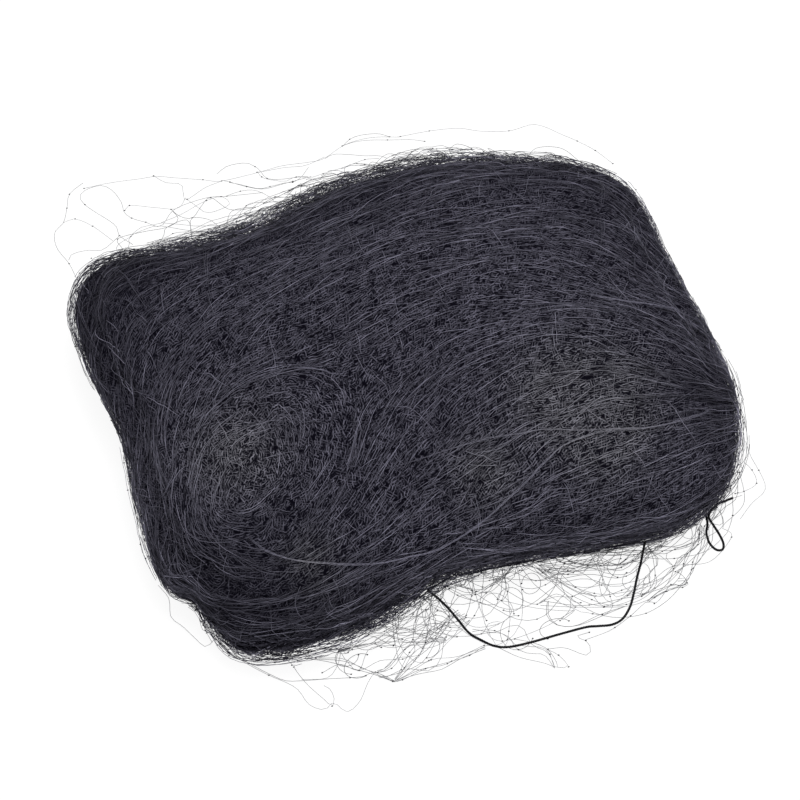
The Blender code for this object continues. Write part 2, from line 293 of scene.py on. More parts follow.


# Places where the filaments lie more across each other, and places where painted light and shade make them
# brighter or darker: X, Y, spread, and how much more
LOOSE_PLACES = (
    (-60, -45, 45, 0.6), (0, -62, 40, 0.4), (-30, 10, 30, 0.3), (-74, -10, 26, 1.8), (-90, -85, 40, 0.8),
    (-115, 30, 30, 0.5),
)
PAINTED_LIGHT_PLACES = (
    (-85, 68, 45, -0.10), (-100, -62, 35, -0.28), (-65, -55, 30, -0.16), (61, -36, 32, 0.30),
    (100, 40, 40, -0.12), (112, -36, 25, -0.38), (-74, -8, 26, 0.22), (9, -6, 30, -0.10),
    (72, -14, 20, -0.12), (-88, 98, 25, -0.30), (13, 97, 30, -0.25), (50, 19, 30, 0.14), (84, -62, 20, 0.14),
    (-124, 12, 42, 0.32), (-20, -95, 30, 0.20),
)
# Painted shade darkens the filaments towards the edge: by how much, how much more of it at the bearing where
# it is strongest, and the shares of the reach between which it grows
RIM_PAINTED_SHADE, RIM_PAINTED_SHADE_MORE, RIM_DARKEST_BEARING = 0.26, 0.26, 110
RIM_SHADE_FROM, RIM_SHADE_TO = 0.65, 0.95


def by_place(place, table):
    """1 plus a bell curve of the distance from each place in a table."""
    return 1 + sum(
        more * np.exp(-(np.abs(place / MM - (x + 1j * y)) / spread) ** 2) for x, y, spread, more in table)


def painted_light_at(place):
    """Painted light and shade at unrolled places: the places' bells, times the painted shade at the edge."""
    bearing, share = bearing_and_share(place)
    edge = np.clip((share - RIM_SHADE_FROM) / (RIM_SHADE_TO - RIM_SHADE_FROM), 0, 1)
    painted_shade = RIM_PAINTED_SHADE + RIM_PAINTED_SHADE_MORE * np.cos(np.radians(bearing - RIM_DARKEST_BEARING))
    return by_place(place, PAINTED_LIGHT_PLACES) * (1 - painted_shade * edge)


SKIN_BEARINGS, SKIN_STEPS = 240, 220
skin_points, skin_normals, skin_run = skin_table(
    np.arange(SKIN_BEARINGS + 1) * 360 / SKIN_BEARINGS, np.linspace(0, 1, SKIN_STEPS))

# Places where thinner, faded net shows, in the columns of PAINTED_LIGHT_PLACES, and the cast of the dye there
FADED_LIGHTENS = 0.28
FADED_TINT = (1.0, 1.02, 0.90)
FADED_PATCHES = (
    (-74, -5, 19, 1), (51, -28, 20, 1), (60, -48, 15, 1), (14, -46, 13, 1), (-60, -58, 10, 1),
    (71, -30, 24, 1),
)


def add_faded(obj, points):
    """Store how faded each point is, from 0 to 1, and return it."""
    faded = np.clip(by_place(in_plan(points), FADED_PATCHES) - 1, 0, 1)
    store(obj, "faded", faded)
    return faded


core_rings = np.linspace(1, SKIN_STEPS - 1, 73).astype(int)
core_bearing = np.arange(SKIN_BEARINGS) * 360 / SKIN_BEARINGS
core_inset = CORE_INSET + CORE_INSET_AT_FRINGE * edge_fringe(core_bearing)[:, None] * np.clip(
    (core_rings / SKIN_STEPS - CORE_INSET_FROM) / CORE_INSET_OVER, 0, 1)
core = skin_points[:-1, core_rings] - core_inset[..., None] * skin_normals[:-1, core_rings]
core[..., 2] = np.maximum(core[..., 2], CORE_LIFT)
core = core.swapaxes(0, 1)
core_poles = ((0, 0, core[0, :, 2].mean()), (0, 0, core[-1, :, 2].min()))
core_piece = closed_tube("packed_core", core, core_poles)
# The strands in its finish follow the winding, so each point keeps its unrolled place and its lay, which
# is stored as the cosine and sine of the doubled angle, with how loose they are, and the painted light and
# shade there
core_run = (core_rings / (SKIN_STEPS - 1) * skin_run[:-1, None]).T
core_place = np.append(core_run * towards(core_bearing), (0, 0))
store(core_piece, "unrolled", at_height(core_place, 0))
store(core_piece, "lay", at_height(np.exp(2j * lay_angle(core_place)), by_place(core_place, LOOSE_PLACES)))
store(core_piece, "painted_light", painted_light_at(core_place))
add_faded(core_piece, np.concatenate((core.reshape(-1, 3), core_poles)))


def new_material(name, roughness, specular):
    """New material with a Principled shader: the material, its node tree and the shader's inputs."""
    material = bpy.data.materials.new(name)
    material.use_nodes = True
    shader = material.node_tree.nodes["Principled BSDF"].inputs
    shader["Roughness"].default_value = roughness
    shader["Specular IOR Level"].default_value = specular
    return material, material.node_tree, shader


def add_node(tree, kind, inputs, **settings):
    """Outputs of a new shader node. Each input, by name or number, is a value or another node's output."""
    node = tree.nodes.new("ShaderNode" + kind)
    for name, value in settings.items():
        setattr(node, name, value)
    for name, source in inputs.items():
        if hasattr(source, "links"):
            tree.links.new(source, node.inputs[name])
        else:
            node.inputs[name].default_value = source
    return node.outputs


def worked_out(tree, operation, *sources):
    """Output of a Math node: an operation on values or outputs."""
    return add_node(tree, "Math", dict(enumerate(sources)), operation=operation)[0]


def mixed(tree, share, dark, light, blend_type="MIX"):
    """Colour between two others, at a share from 0 to 1."""
    inputs = {"Factor": share, "A": dark, "B": light}
    return add_node(tree, "Mix", inputs, data_type="RGBA", blend_type=blend_type)["Result"]


def stored(tree, name):
    """Outputs of the node that reads what is stored under a name."""
    return add_node(tree, "Attribute", {}, attribute_name=name)


def dye(tree, shader, share, dark, light, faded):
    """Colour from dark to light by a share, which may hold painted light and shade, times the faded tint in
    patches.
    """
    tone = mixed(tree, share, (*dark, 1), (*light, 1))
    cast = mixed(tree, stored(tree, "faded")["Fac"], tone, (*faded, 1), "MULTIPLY")
    tree.links.new(cast, shader["Base Color"])


def add_relief(tree, shader, height, strength):
    """Bump a tenth of a millimetre high."""
    relief = add_node(tree, "Bump", {"Height": height, "Strength": strength, "Distance": 0.0001})
    tree.links.new(relief["Normal"], shader["Normal"])


# Strands in the core's finish: how far they wobble and how finely, the cell's own shift in lanes, the edges
# of a lane's ridge, how long the dashes are and which share of them shows, and the least brightness
STRAND_WOBBLE, WOBBLE_SCALE = 0.0010, 300
LANES_SHIFT = 90
RIDGE_FULL, RIDGE_END = 0.04, 0.21
DASHES_A_METRE, DASH_SHIFT = 300, 3.7
DASH_FROM, DASH_FULL = 0.46, 0.60
LEAST_BRIGHT = 0.4


def strand_layer(tree, place, lay, loose, cells, pitch, turn, spread):
    """Output of the nodes for one layer of packed filaments, as light lines on dark.

    The surface is divided into cells. In each, parallel lines run along the winding, turned by the layer's
    angle and by the cell's own random share of the spread. Each line has its own random brightness, wobbles
    a little, and is broken where other filaments hide it.
    """
    def math(operation, *sources):
        return worked_out(tree, operation, *sources)

    def flat_noise(place, scale):
        inputs = {"Vector": place, "Scale": scale, "Detail": 1}
        return add_node(tree, "TexNoise", inputs, noise_dimensions="2D")["Fac"]

    cell = add_node(tree, "TexVoronoi", {"Vector": place, "Scale": cells}, voronoi_dimensions="2D")
    own = add_node(tree, "SeparateColor", {"Color": cell["Color"]})
    local = add_node(tree, "VectorMath", {0: place, 1: cell["Position"]}, operation="SUBTRACT")[0]
    spread = math("MULTIPLY", loose, spread)
    angle = math("MULTIPLY_ADD", math("SUBTRACT", own["Red"], 0.5), spread, math("ADD", lay, turn))
    turned = add_node(
        tree, "VectorRotate", {"Vector": local, "Angle": angle}, rotation_type="Z_AXIS", invert=True)
    way = add_node(tree, "SeparateXYZ", {"Vector": turned["Vector"]})
    wobble = math("MULTIPLY", flat_noise(place, WOBBLE_SCALE), STRAND_WOBBLE)
    lane = math("ADD", math("DIVIDE", math("ADD", way["Y"], wobble), pitch),
                math("MULTIPLY", own["Blue"], LANES_SHIFT))
    number = math("FLOOR", lane)
    off_middle = math("ABSOLUTE", math("SUBTRACT", math("FRACT", lane), 0.5))
    ridge = add_node(tree, "MapRange", {
        "Value": off_middle, "From Min": RIDGE_FULL, "From Max": RIDGE_END, "To Min": 1, "To Max": 0,
    }, interpolation_type="SMOOTHSTEP")["Result"]
    mark = add_node(tree, "CombineXYZ", {"X": number})["Vector"]
    bright = add_node(tree, "TexWhiteNoise", {"Vector": mark}, noise_dimensions="2D")["Value"]
    dash = add_node(tree, "CombineXYZ", {
        "X": math("MULTIPLY", way["X"], DASHES_A_METRE), "Y": math("MULTIPLY", number, DASH_SHIFT)})["Vector"]
    seen = add_node(tree, "MapRange", {
        "Value": flat_noise(dash, 1), "From Min": DASH_FROM, "From Max": DASH_FULL})["Result"]
    return math("MULTIPLY", math("MULTIPLY", ridge, seen),
                math("MULTIPLY_ADD", bright, 1 - LEAST_BRIGHT, LEAST_BRIGHT))


# Layers: cells a metre, pitch of the lines, turn from the winding and its spread in radians, and how light
# the layer is
STRAND_LAYERS = (
    (190, 0.00095, 0.5, 1.6, 0.34), (150, 0.00105, 1.25, 0.9, 0.68), (120, 0.00095, -0.15, 0.5, 0.85),
    (150, 0.00105, 0.1, 0.7, 1.00),
)
core_material, tree, shader = new_material("packed_filament", 0.7, 0.01)
place, lay = stored(tree, "unrolled")["Vector"], stored(tree, "lay")["Vector"]
double = add_node(tree, "SeparateXYZ", {"Vector": lay})
angle = worked_out(tree, "MULTIPLY", worked_out(tree, "ARCTAN2", double["Y"], double["X"]), 0.5)
strands = 0.0
for cells, pitch, turn, spread, lightness in STRAND_LAYERS:
    shifted = add_node(
        tree, "VectorMath", {0: place, 1: (cells * 0.37, cells * 0.11, 0)}, operation="ADD")["Vector"]
    layer = strand_layer(tree, shifted, angle, double["Z"], cells, pitch, turn, spread)
    strands = worked_out(tree, "MAXIMUM", strands, worked_out(tree, "MULTIPLY", layer, lightness))
# Painted light and shade: the strands are brightened and darkened by place, and darkened towards the edge
dye(tree, shader, worked_out(tree, "MULTIPLY", strands, stored(tree, "painted_light")["Fac"]),
    (0.0030, 0.0026, 0.0060), (0.200, 0.193, 0.252), [share * (1 + FADED_LIGHTENS) for share in FADED_TINT])
add_relief(tree, shader, strands, 0.3)
dress(core_piece, core_material, "net_bundle", "net_bundle")


# Border cord
# The net's edge is threaded on one length of black twisted twine. A slack bight of it hangs out at the
# front, and a small bight with a cut end at the right corner. Elsewhere it is wound in with the net.
CORD_DIAMETER = 0.0010
CORD_CLEARANCE = 0.0008
CORD_LAY_LENGTH = 0.0032
CORD_STEP = 0.0005
FRONT_LOOP = (
    (-14.0, -74.1, 6.0), (-11.3, -78.4, 3.6), (-9.2, -84.2, 3.0), (-7.1, -90.3, 3.0), (-3.5, -94.8, 3.0),
    (0.3, -98.5, 3.0), (5.3, -100.7, 3.0), (13.9, -101.7, 3.0), (26.2, -102.2, 3.0), (36.8, -102.8, 3.0),
    (41.4, -103.9, 3.0), (46.8, -105.1, 3.0), (51.5, -104.3, 3.2), (56.1, -100.7, 3.6), (59.6, -95.9, 4.2),
    (62.9, -90.7, 5.2), (66.4, -85.7, 7.5),
)
# Bearing and level where the stretches leave the pad
FRONT_LOOP_START, FRONT_LOOP_END = (256, -24), (311.5, -24)
EYE = (
    (97.8, -78.7, 6.6), (96.3, -81.6, 5.3), (96.0, -85.8, 4.5), (97.5, -89.1, 4.0), (99.9, -89.9, 4.0),
    (101.2, -87.7, 4.3), (100.7, -84.2, 6.0), (99.3, -80.6, 8.5), (98.1, -77.9, 11.2), (100.3, -75.4, 11.8),
    (103.9, -73.9, 11.6), (107.5, -73.2, 10.8), (110.7, -72.7, 10.0),
)
EYE_START = (322.7, -34)


def beside_pad(bearing, level, clearance):
    """Point beside the pad: the skin's point, moved straight outwards in plan by a clearance."""
    return pad_point(bearing, level) + at_height(clearance * towards(bearing), 0)


def smooth_route(points, spacing):
    """Points a spacing apart on the Catmull-Rom curve through a route's own points."""
    points = np.asarray(points, float)
    ends = np.concatenate((2 * points[:1] - points[1:2], points, 2 * points[-1:] - points[-2:-1]))
    t = (np.arange(40) / 40)[None, :, None]
    p, q, r, s = (ends[k:len(ends) - 3 + k, None] for k in range(4))
    square, cube = 2 * p - 5 * q + 4 * r - s, 3 * q - 3 * r + s - p
    fine = q + 0.5 * ((r - p) * t + square * t ** 2 + cube * t ** 3)
    fine = np.concatenate((fine.reshape(-1, points.shape[1]), points[-1:]))
    run = np.concatenate(((0,), np.cumsum(np.linalg.norm(np.diff(fine, axis=0), axis=-1))))
    return at_marks(fine, run, np.linspace(0, run[-1], max(round(run[-1] / spacing), 2) + 1))


def twisted_twine(name, route, diameter):
    """Closed tube of laid twine along a route: a round profile of three lobes that turns as it goes."""
    along = unit(np.gradient(route, axis=0))
    side = unit(np.cross(along, (0, 0, 1)))
    up = np.cross(side, along)
    run = np.arange(len(route)) * CORD_STEP
    corner = np.arange(12) * 2 * np.pi / 12
    lobes = np.abs(np.cos(1.5 * (corner - 2 * np.pi * run[:, None] / CORD_LAY_LENGTH)))
    radius = diameter / 2 * (0.80 + 0.26 * lobes)
    rings = route[:, None] + radius[..., None] * (
        np.cos(corner)[:, None] * side[:, None] + np.sin(corner)[:, None] * up[:, None])
    return closed_tube(name, rings, route[(0, -1), :])


twine_material, tree, shader = new_material("black_twine", 0.55, 0.15)
fibre = add_node(
    tree, "TexNoise", {"Vector": add_node(tree, "TexCoord", {})["Object"], "Scale": 2600, "Detail": 3})["Fac"]
tree.links.new(
    mixed(tree, fibre, (0.0015, 0.0015, 0.002, 1), (0.010, 0.010, 0.013, 1)), shader["Base Color"])
add_relief(tree, shader, fibre, 0.5)

front_start, front_end, eye_start = (
    beside_pad(*place, CORD_CLEARANCE) for place in (FRONT_LOOP_START, FRONT_LOOP_END, EYE_START))
front_route = smooth_route((front_start, *np.array(FRONT_LOOP) * MM, front_end), CORD_STEP)
eye_route = smooth_route((eye_start, *np.array(EYE) * MM), CORD_STEP)
for name, node, route, far_end in (
    ("border_cord_bight", "border_cord_front", front_route, "object"),
    ("border_cord_end", "border_cord_eye", eye_route, "bare"),
):
    twine = twisted_twine(name, route, CORD_DIAMETER)
    dress(twine, twine_material, "border_cord", node)


# Wound filaments over the pad
# Single nylon filaments of the gathered net. Most follow the winding, and some cross it as the other bars
# of the mesh do. They lie in a layer a little over a millimetre thick on the body.
FILAMENT_DIAMETER = 0.00018
FILAMENT_STEP = 0.0032
# Height over the skin between which a filament weaves up and down, and the length of its waves. Below the
# core's own surface it is out of sight.
WEAVE_LOW, WEAVE_HIGH = -0.0014, 0.0004
WEAVE_LENGTHS = (0.018, 0.065)
# How far the wound layer lies inside the skin at the edge, as a share of the fringe that stands off it, and
# from which share of the reach on
FRINGE_DRAWS_IN, DRAWS_IN_FROM = 0.35, 0.75
# How deep the ends of a filament dive among the others, how much lower it lies where the winding is loose,
# and how much it is crimped sideways
ENDS_SINK = 0.0010
LOOSE_SINKS = 0.0004
CRIMP = 0.00007
# Filaments from neighbouring meshes lie side by side, this far apart
GROUP_PITCHES = (0.0011, 0.0026)
# Angles at which crossing filaments cross the lay, the share of a kink that lasts to the next step, and the
# reach of the places where filaments start
CROSS_ANGLES = (50, 125)
KINK_LASTS = 0.72
STARTS_WITHIN = 0.2
# Steps of the sequence that fills a square evenly, from the plastic number
EVEN_STEPS = (0.7548777, 0.5698403)
KNOT_RADIUS = 0.00033
# Shade of the filaments: share of them that is darker, and the shade there, drawn for each filament. It
# stands partly for the filament's own tone and partly for painted sheen: few shine, most are dull. A filament
# gets painted shade where it weaves low, down to this share, and a painted glint, uneven along it: least, and
# range.
SHADE_SHARES = ((0, 0.22), (0.5, 0.42), (0.85, 0.70), (1, 1.0))
PAINTED_SHADE_WHEN_LOW = 0.35
GLINT_LEAST, GLINT_RANGE = 0.5, 0.9


def on_skin(place):
    """Skin point and normal at an unrolled place, whose distance from the middle is run down the skin."""
    bearing = np.degrees(np.angle(place)) % 360 / 360 * SKIN_BEARINGS
    row = np.minimum(bearing.astype(int), SKIN_BEARINGS - 1)
    part = bearing - row
    run = skin_run[row] * (1 - part) + skin_run[row + 1] * part
    mark = np.clip(np.abs(place) / run, 0, 1) * (SKIN_STEPS - 1)
    column = np.minimum(mark.astype(int), SKIN_STEPS - 2)
    share, part = (mark - column)[..., None], part[..., None]

    def blend(table):
        near = table[row, column] * (1 - share) + table[row, column + 1] * share
        far = table[row + 1, column] * (1 - share) + table[row + 1, column + 1] * share
        return near * (1 - part) + far * part

    return blend(skin_points), unit(blend(skin_normals))


def traced_lays(chance, groups, strands, steps, turn, crossing, kink):
    """Unrolled paths that follow the winding, in groups of filaments side by side.

    A group's start comes from a sequence that fills the pad evenly. Its filaments start a pitch apart across
    the lay. Each steps ahead along the lay, turned by the group's own angle, plus a kink that is drawn anew
    at each step and dies away, as the real filaments bend a little at every knot. A share of the groups
    crosses the lay. Angles and kinks grow where the winding is loose.
    """
    mark = np.arange(groups * 3)[:, None]
    trial = in_plan(((mark * EVEN_STEPS + chance.random(2)) % 1 * 2 - 1) * STARTS_WITHIN)
    bearing = np.degrees(np.angle(trial)) % 360
    run = np.interp(bearing, np.arange(SKIN_BEARINGS + 1) * 360 / SKIN_BEARINGS, skin_run)
    start = trial[np.abs(trial) < run][:groups]
    loose = by_place(start, LOOSE_PLACES)
    spread = np.radians(chance.normal(0, turn, groups)) * loose
    crosses = chance.random(groups) < crossing * np.sqrt(loose)
    spread = np.where(crosses, np.radians(chance.uniform(*CROSS_ANGLES, groups)), spread)
    heading = lay_angle(start) + np.where(chance.random(groups) < 0.5, 0, np.pi)
    aside = (np.arange(strands) - (strands - 1) / 2) * chance.uniform(*GROUP_PITCHES, (groups, 1))
    aside = aside * (1 + chance.normal(0, 0.12, (groups, strands)))
    ahead = chance.uniform(-2, 2, (groups, strands)) * FILAMENT_STEP
    place = (start[:, None] + (ahead + 1j * aside) * np.exp(1j * (heading + spread))[:, None]).ravel()
    heading, spread = np.repeat(heading, strands), np.repeat(spread, strands)
    paths = []
    wander = 0
    for _ in range(steps):
        paths.append(place)
        lay = lay_angle(place)
        heading = lay + np.pi * np.round((heading - lay) / np.pi)
        shared = np.repeat(chance.normal(0, kink, groups) * loose, strands)
        wander = KINK_LASTS * wander + np.radians(shared + chance.normal(0, 0.5 * kink, len(place)))
        place = place + FILAMENT_STEP * np.exp(1j * (heading + spread + wander))
    return np.stack(paths, axis=-1)


def filament_tubes(paths, normals, radius):
    """Three-sided closed tubes along paths, an array of tubes, points and axes, with caps at both ends.

    Each ring stands square to the path: one corner away from the skin and two against it.
    """
    tubes, steps, _ = paths.shape
    along = unit(np.gradient(paths, axis=1))
    side = unit(np.cross(along, normals))
    up = np.cross(side, along)
    corner = np.radians((90, 210, 330))
    radius = np.broadcast_to(radius, tubes)[:, None, None, None]
    rings = paths[:, :, None] + radius * (
        np.cos(corner)[:, None] * side[:, :, None] + np.sin(corner)[:, None] * up[:, :, None])
    base = (np.arange(tubes)[:, None, None] * steps + np.arange(steps - 1)[None, :, None]) * 3
    here, there = np.arange(3), (np.arange(3) + 1) % 3
    quads = np.stack((base + here, base + 3 + here, base + 3 + there, base + there), axis=-1)
    first = np.arange(tubes)[:, None] * steps * 3
    caps = np.concatenate((first + np.array((0, 1, 2)), first + (steps - 1) * 3 + np.array((2, 1, 0))))
    return rings.reshape(-1, 3), quads.ravel(), caps.ravel()


class Netting:
    """Gathers filaments of different lengths, and knots, each with its shade, into one mesh."""

    def __init__(self):
        self.points, self.quads, self.triangles, self.shades, self.used = [], [], [], [], 0

    def add_part(self, points, quads, triangles, shades):
        """A part with corner indices that count from its own first point."""
        self.points.append(points)
        self.quads.append(quads + self.used)
        self.triangles.append(triangles + self.used)
        self.shades.append(shades)
        self.used += len(points)

    def add_filaments(self, paths, normals, radius, shade):
        """Filaments along paths. The shade is one value, one for each path, or one for each of its points."""
        shade = np.asarray(shade, float)
        shade = shade[:, None] if shade.ndim == 1 else shade
        self.add_part(
            *filament_tubes(paths, normals, radius), np.repeat(np.broadcast_to(shade, paths.shape[:2]), 3))

    def add_knots(self, places):
        """Dark knots as octahedra, a corner each way along the axes, longer along X by a half."""
        corner = KNOT_RADIUS * np.array(
            ((1.5, 0, 0), (-1.5, 0, 0), (0, 1, 0), (0, -1, 0), (0, 0, 1), (0, 0, -1)))
        faces = np.array(
            ((0, 2, 4), (2, 1, 4), (1, 3, 4), (3, 0, 4), (2, 0, 5), (1, 2, 5), (3, 1, 5), (0, 3, 5)))
        points = places.reshape(-1, 1, 3) + corner
        first = np.arange(len(points))[:, None, None] * 6
        self.add_part(
            points.reshape(-1, 3), np.empty(0, int), (first + faces).ravel(), np.zeros(len(points) * 6))

    def build(self, name, material, slot, *nodes):
        """The piece of all that was added, dressed, with its filaments lighter where the net is faded."""
        points = np.concatenate(self.points)
        piece = mesh_object(name, points, np.concatenate(self.quads), np.concatenate(self.triangles))
        store(piece, "shade", np.concatenate(self.shades) * (1 + FADED_LIGHTENS * add_faded(piece, points)))
        dress(piece, material, slot, *nodes)


def filament_material(name, dark, light, faded, roughness):
    """Nylon: dark to light by its stored shade, with painted light and shade in places, and faded tint in
    patches.
    """
    material, tree, shader = new_material(name, roughness, 0.08)
    dye(tree, shader, stored(tree, "shade")["Fac"], dark, light, faded)
    return material


filament = filament_material(
    "dyed_filament_painted_light", (0.0050, 0.0045, 0.0095), (0.430, 0.418, 0.540), FADED_TINT, 0.42)

chance = np.random.default_rng(20)
# Groups, filaments in a group, points each, spread of their turn from the lay in degrees, share that
# crosses it, and kink at the knots in degrees
WOUND_LAYERS = (
    (130, 3, 34, 5, 0.00, 1.5), (180, 3, 24, 8, 0.03, 2.0), (300, 3, 9, 16, 0.40, 9),
    (150, 2, 42, 3, 0.00, 1.2),
)
for number, (groups, strands, steps, turn, crossing, kink) in enumerate(WOUND_LAYERS, start=1):
    batch = Netting()
    count = groups * strands
    places = traced_lays(chance, groups, strands, steps, turn, crossing, kink)
    skin, normal = on_skin(places)
    wave = chance.uniform(0, 2 * np.pi, (count, 1)) + 2 * np.pi * FILAMENT_STEP * np.arange(
        steps) / chance.uniform(*WEAVE_LENGTHS, (count, 1))
    height_share = 0.5 + 0.5 * np.sin(wave)
    ends = 1 - np.sin(np.pi * (np.arange(steps) + 0.5) / steps) ** 0.3
    lift = WEAVE_LOW + (WEAVE_HIGH - WEAVE_LOW) * height_share - ENDS_SINK * ends
    bearing, share = bearing_and_share(places)
    rimward = np.clip((share - DRAWS_IN_FROM) / (1 - DRAWS_IN_FROM), 0, 1)
    lift = lift - FRINGE_DRAWS_IN * edge_fringe(bearing) * rimward
    lift = lift - LOOSE_SINKS * (by_place(places, LOOSE_PLACES) - 1)
    path = skin + normal * lift[..., None] + chance.normal(0, CRIMP, (count, steps, 3))
    path[..., 2] = np.maximum(path[..., 2], FILAMENT_DIAMETER)
    # Each filament's brightness, partly its own tone and partly painted sheen
    tone_and_sheen = np.interp(chance.random(count), *np.transpose(SHADE_SHARES))
    # Painted shade where the filament weaves low, and a painted glint drawn at each point
    shade = tone_and_sheen[:, None] * (PAINTED_SHADE_WHEN_LOW + (1 - PAINTED_SHADE_WHEN_LOW) * height_share)
    shade = shade * (GLINT_LEAST + GLINT_RANGE * chance.random((count, steps)))
    thick = FILAMENT_DIAMETER / 2 * (0.85 + 0.35 * tone_and_sheen)
    # Painted light and shade by place, as on the core
    batch.add_filaments(path, normal, thick, np.clip(shade * painted_light_at(places), 0, 1))
    batch.build("wound_filaments_%d" % number, filament, "net_bundle", "net_bundle")


# Fringe round the pad's edge
# Where the net is wound less tightly, its outermost filaments stand a few millimetres off the edge and run
# along it, with the knots of the mesh on them. White table shows between them.
# Where the edge shows from above: the level and lean of its outermost line, at the back and at the front
FRINGE_LEVELS = ((-6, 30), (-50, 4))
FRINGE_LEAN = ((20, 55), (-35, 10))
# Count and points of the filaments, their step, turn from the edge's run and kink in degrees, how far off
# the edge they lie, as shares of the fringe, and their radius
FRINGE_LAYERS = (
    (2200, 9, 0.0014, 8, 14, -1.00, 0.05, 0.00013), (420, 9, 0.0015, 7, 11, -0.30, 0.75, 0.0001),
    (150, 17, 0.0034, 2, 3, -0.40, 0.70, 0.0001),
)
FRINGE_FRONT = (200, 350)
# Share of its turn that a filament loses by its end, the thickness of fringe from which on it strays freely,
# the most that it may stray past its layer as a share of that, how its level waves in degrees, and its crimp
FRINGE_TURNS_BACK = 0.6
FRINGE_FREE_FROM = 0.003
FRINGE_STRAYS = 0.35
FRINGE_WAVE = 5
FRINGE_CRIMP = 0.00010
FRINGE_SHADE = 0.16
FRINGE_KNOTS = 0.05
fringe = Netting()
for count, steps, stride, turn, kink, nearest, furthest, radius in FRINGE_LAYERS:
    start = chance.uniform(0, 360, 12 * count)
    start = start[chance.random(12 * count) < edge_fringe(start) / EDGE_FRINGE[:, 1].max()][:count]
    count = len(start)
    at_front = ((start > FRINGE_FRONT[0]) & (start < FRINGE_FRONT[1])).astype(int)
    low, high = np.array(FRINGE_LEVELS)[at_front].T
    lean_low, lean_high = np.radians(FRINGE_LEAN)[at_front].T
    heading = np.radians(
        chance.normal(0, turn, (count, 1)) + np.cumsum(chance.normal(0, kink, (count, steps)), axis=1))
    heading = heading - FRINGE_TURNS_BACK * (heading - heading[:, :1]) * np.linspace(0, 1, steps)
    ahead = np.cumsum(np.cos(heading), axis=1) * stride
    bearing = start[:, None] + np.degrees(ahead / plan_reach(start)[:, None])
    thickness = edge_fringe(bearing)
    stand_off = thickness * chance.uniform(nearest, furthest, (count, 1)) + np.cumsum(
        np.sin(heading), axis=1) * stride * np.minimum(1, thickness / FRINGE_FREE_FROM)
    stand_off = np.minimum(
        stand_off, thickness * (furthest + chance.uniform(0, FRINGE_STRAYS, (count, 1))))
    level = (low + (high - low) * chance.random(count))[:, None] + FRINGE_WAVE * np.sin(
        chance.uniform(0, 2 * np.pi, (count, 1)) + np.arange(steps) * chance.uniform(0.1, 0.5, (count, 1)))
    lean = (lean_low + (lean_high - lean_low) * chance.random(count))[:, None]
    path = beside_pad(bearing, level, stand_off * np.cos(lean))
    path = path + chance.normal(0, FRINGE_CRIMP, path.shape)
    path[..., 2] = np.maximum(path[..., 2] + stand_off * np.sin(lean), FILAMENT_DIAMETER)
    shade = np.clip(chance.exponential(FRINGE_SHADE, count), 0, 1)
    fringe.add_filaments(path, unit(path * (1, 1, 0)), radius, shade)
    fringe.add_knots(path[chance.random((count, steps)) < FRINGE_KNOTS])
fringe.build("edge_fringe", filament, "net_bundle", "net_bundle")


# Gathered runs on the crown
# Stretches of the border where cord and net edge lie close together and half sunk among the filaments.
# They read as paler ropes a millimetre thick.
GATHERED_RUNS = (
    # route in plan, filaments in it, half thickness, and the lengths over which it rises at its two ends
    (((-80, -41), (-74, -50), (-65, -57), (-50, -63), (-36, -66), (-22, -66), (-8, -65), (8, -62), (24, -56),
      (36, -51), (46, -47), (62, -45), (78, -48), (91, -49), (104, -47), (111, -44)), 3, 0.22, 10, 20),
    (((-25, -35), (-6, -35), (6, -35), (19, -35), (32, -38), (39, -39), (52, -42), (61, -44), (71, -46),
      (86, -49)), 2, 0.16, 40, 12),
    (((76, 16.5), (81, 12.5), (86, 9.5), (92, 7), (99, 5.3), (107, 3), (116, 0.5), (122, -2)),
     3, 0.24, 10, 12),
)


def over_crown(places, clearance):
    """Points at a clearance over places in plan: the run down the skin is halved in on 24 times."""
    distance = np.abs(places)
    low, high = 0 * distance, distance * 1.35
    for _ in range(24):
        run = (low + high) / 2
        skin, normal = on_skin(places / distance * run)
        short = np.abs(in_plan(skin)) < distance
        low, high = np.where(short, run, low), np.where(short, high, run)
    return skin + normal * clearance[:, None], normal


GATHERED_STEP = 0.0016
GATHERED_TWIST = 0.011
# Height over the skin where a run is sunk, how far it rises and how far it waves, and its shade where it is
# sunk, darker there as painted shade, and how much painted light it gains where it has risen
GATHERED_SUNK, GATHERED_RISE, GATHERED_WAVE = -0.0004, 0.0012, 0.0002
GATHERED_SHADE, GATHERED_PAINTED_LIGHT_RISEN = 0.20, 0.40
gathered = Netting()
for plan_route, plies, half_thickness, rise_in, rise_out in GATHERED_RUNS:
    places = smooth_route(np.array(plan_route) * MM, GATHERED_STEP)
    run = np.arange(len(places)) * GATHERED_STEP
    risen = np.clip(run / rise_in / MM, 0, 1) * np.clip((run[-1] - run) / rise_out / MM, 0, 1)
    height = GATHERED_SUNK + GATHERED_RISE * risen + GATHERED_WAVE * np.sin(run / 0.009)
    centre, normal = over_crown(in_plan(places), height)
    side = unit(np.cross(np.gradient(centre, axis=0), normal))
    twist = 2 * np.pi * (run / GATHERED_TWIST + np.arange(plies)[:, None] / plies)
    thick = half_thickness * MM * (1 + 0.35 * np.sin(run / 0.006 + np.arange(plies)[:, None]))
    path = centre + thick[..., None] * (
        np.cos(twist)[..., None] * side * 1.3 + 0.7 * np.sin(twist)[..., None] * normal)
    # Painted shade where the run is sunk among the filaments, painted light where it has risen over them
    shade = (GATHERED_SHADE + GATHERED_PAINTED_LIGHT_RISEN * risen) * chance.uniform(0.75, 1.25, (plies, len(run)))
    gathered.add_filaments(path, normal, FILAMENT_DIAMETER / 2, shade)
gathered.build("gathered_border", filament, "border_cord", "border_cord_crown")


